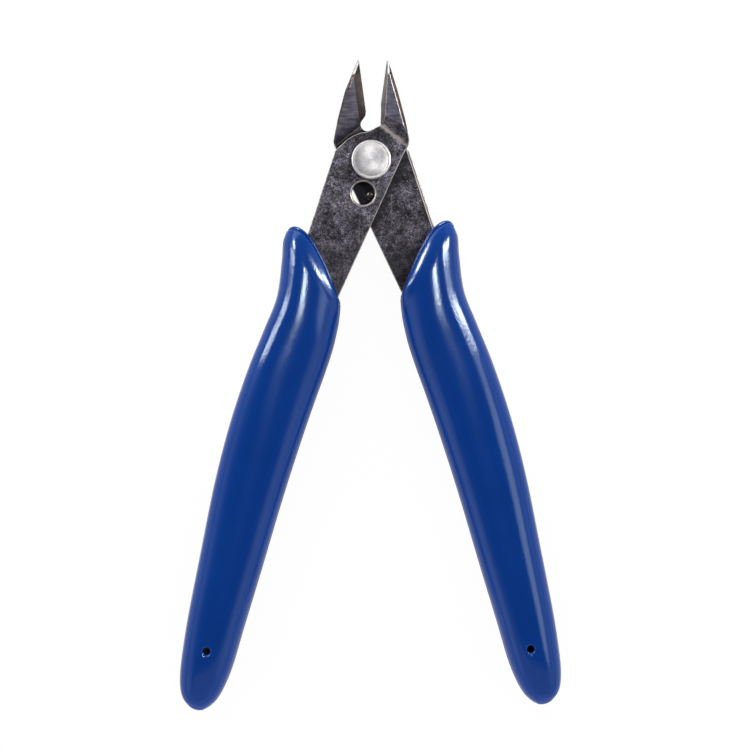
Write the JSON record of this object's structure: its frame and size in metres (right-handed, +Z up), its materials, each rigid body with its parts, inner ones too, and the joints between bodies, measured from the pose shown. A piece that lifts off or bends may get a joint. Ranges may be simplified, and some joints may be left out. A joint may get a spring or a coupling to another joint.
{
  "type": "flush cut pliers",
  "caption": "Hand cutter of crossing stamped levers on a rivet, with upswept ground shear jaws, a hidden return spring, an opening stop and moulded slip-on grips.",
  "frame": {"origin": "under the middle of the resting tool's box, in the plane the grips lie on", "axes": "+Y to the jaw tips, +X to the right seen from the front, +Z up from the resting plane to the front of the tool; the pivot runs along Z"},
  "size_m": [0.0743, 0.1266, 0.0094],
  "materials": {
    "black_steel": "mottled black oxide, ground and worn bright at the edges",
    "turned_steel": "bright, turned",
    "spring_wire": "drawn wire",
    "blue_vinyl": "glossy moulded vinyl"
  },
  "bodies": {
    "front_half": {"front_blade": "black_steel", "left_grip": "blue_vinyl", "pivot_rivet": "turned_steel", "rivet_collar": "turned_steel", "return_spring": "spring_wire"},
    "rear_half": {"rear_blade": "black_steel", "right_grip": "blue_vinyl", "stop_pin": "turned_steel"}
  },
  "joints": [
    {"name": "pivot", "type": "hinge", "parent": "front_half", "child": "rear_half", "pos_m": [0, 0.04365, 0.0047], "axis": [0, 0, -1], "range_deg": [0, 16], "stiffness_Nm_per_rad": 0.54, "springref_deg": -10.89, "deforming": ["return_spring"]}
  ]
}
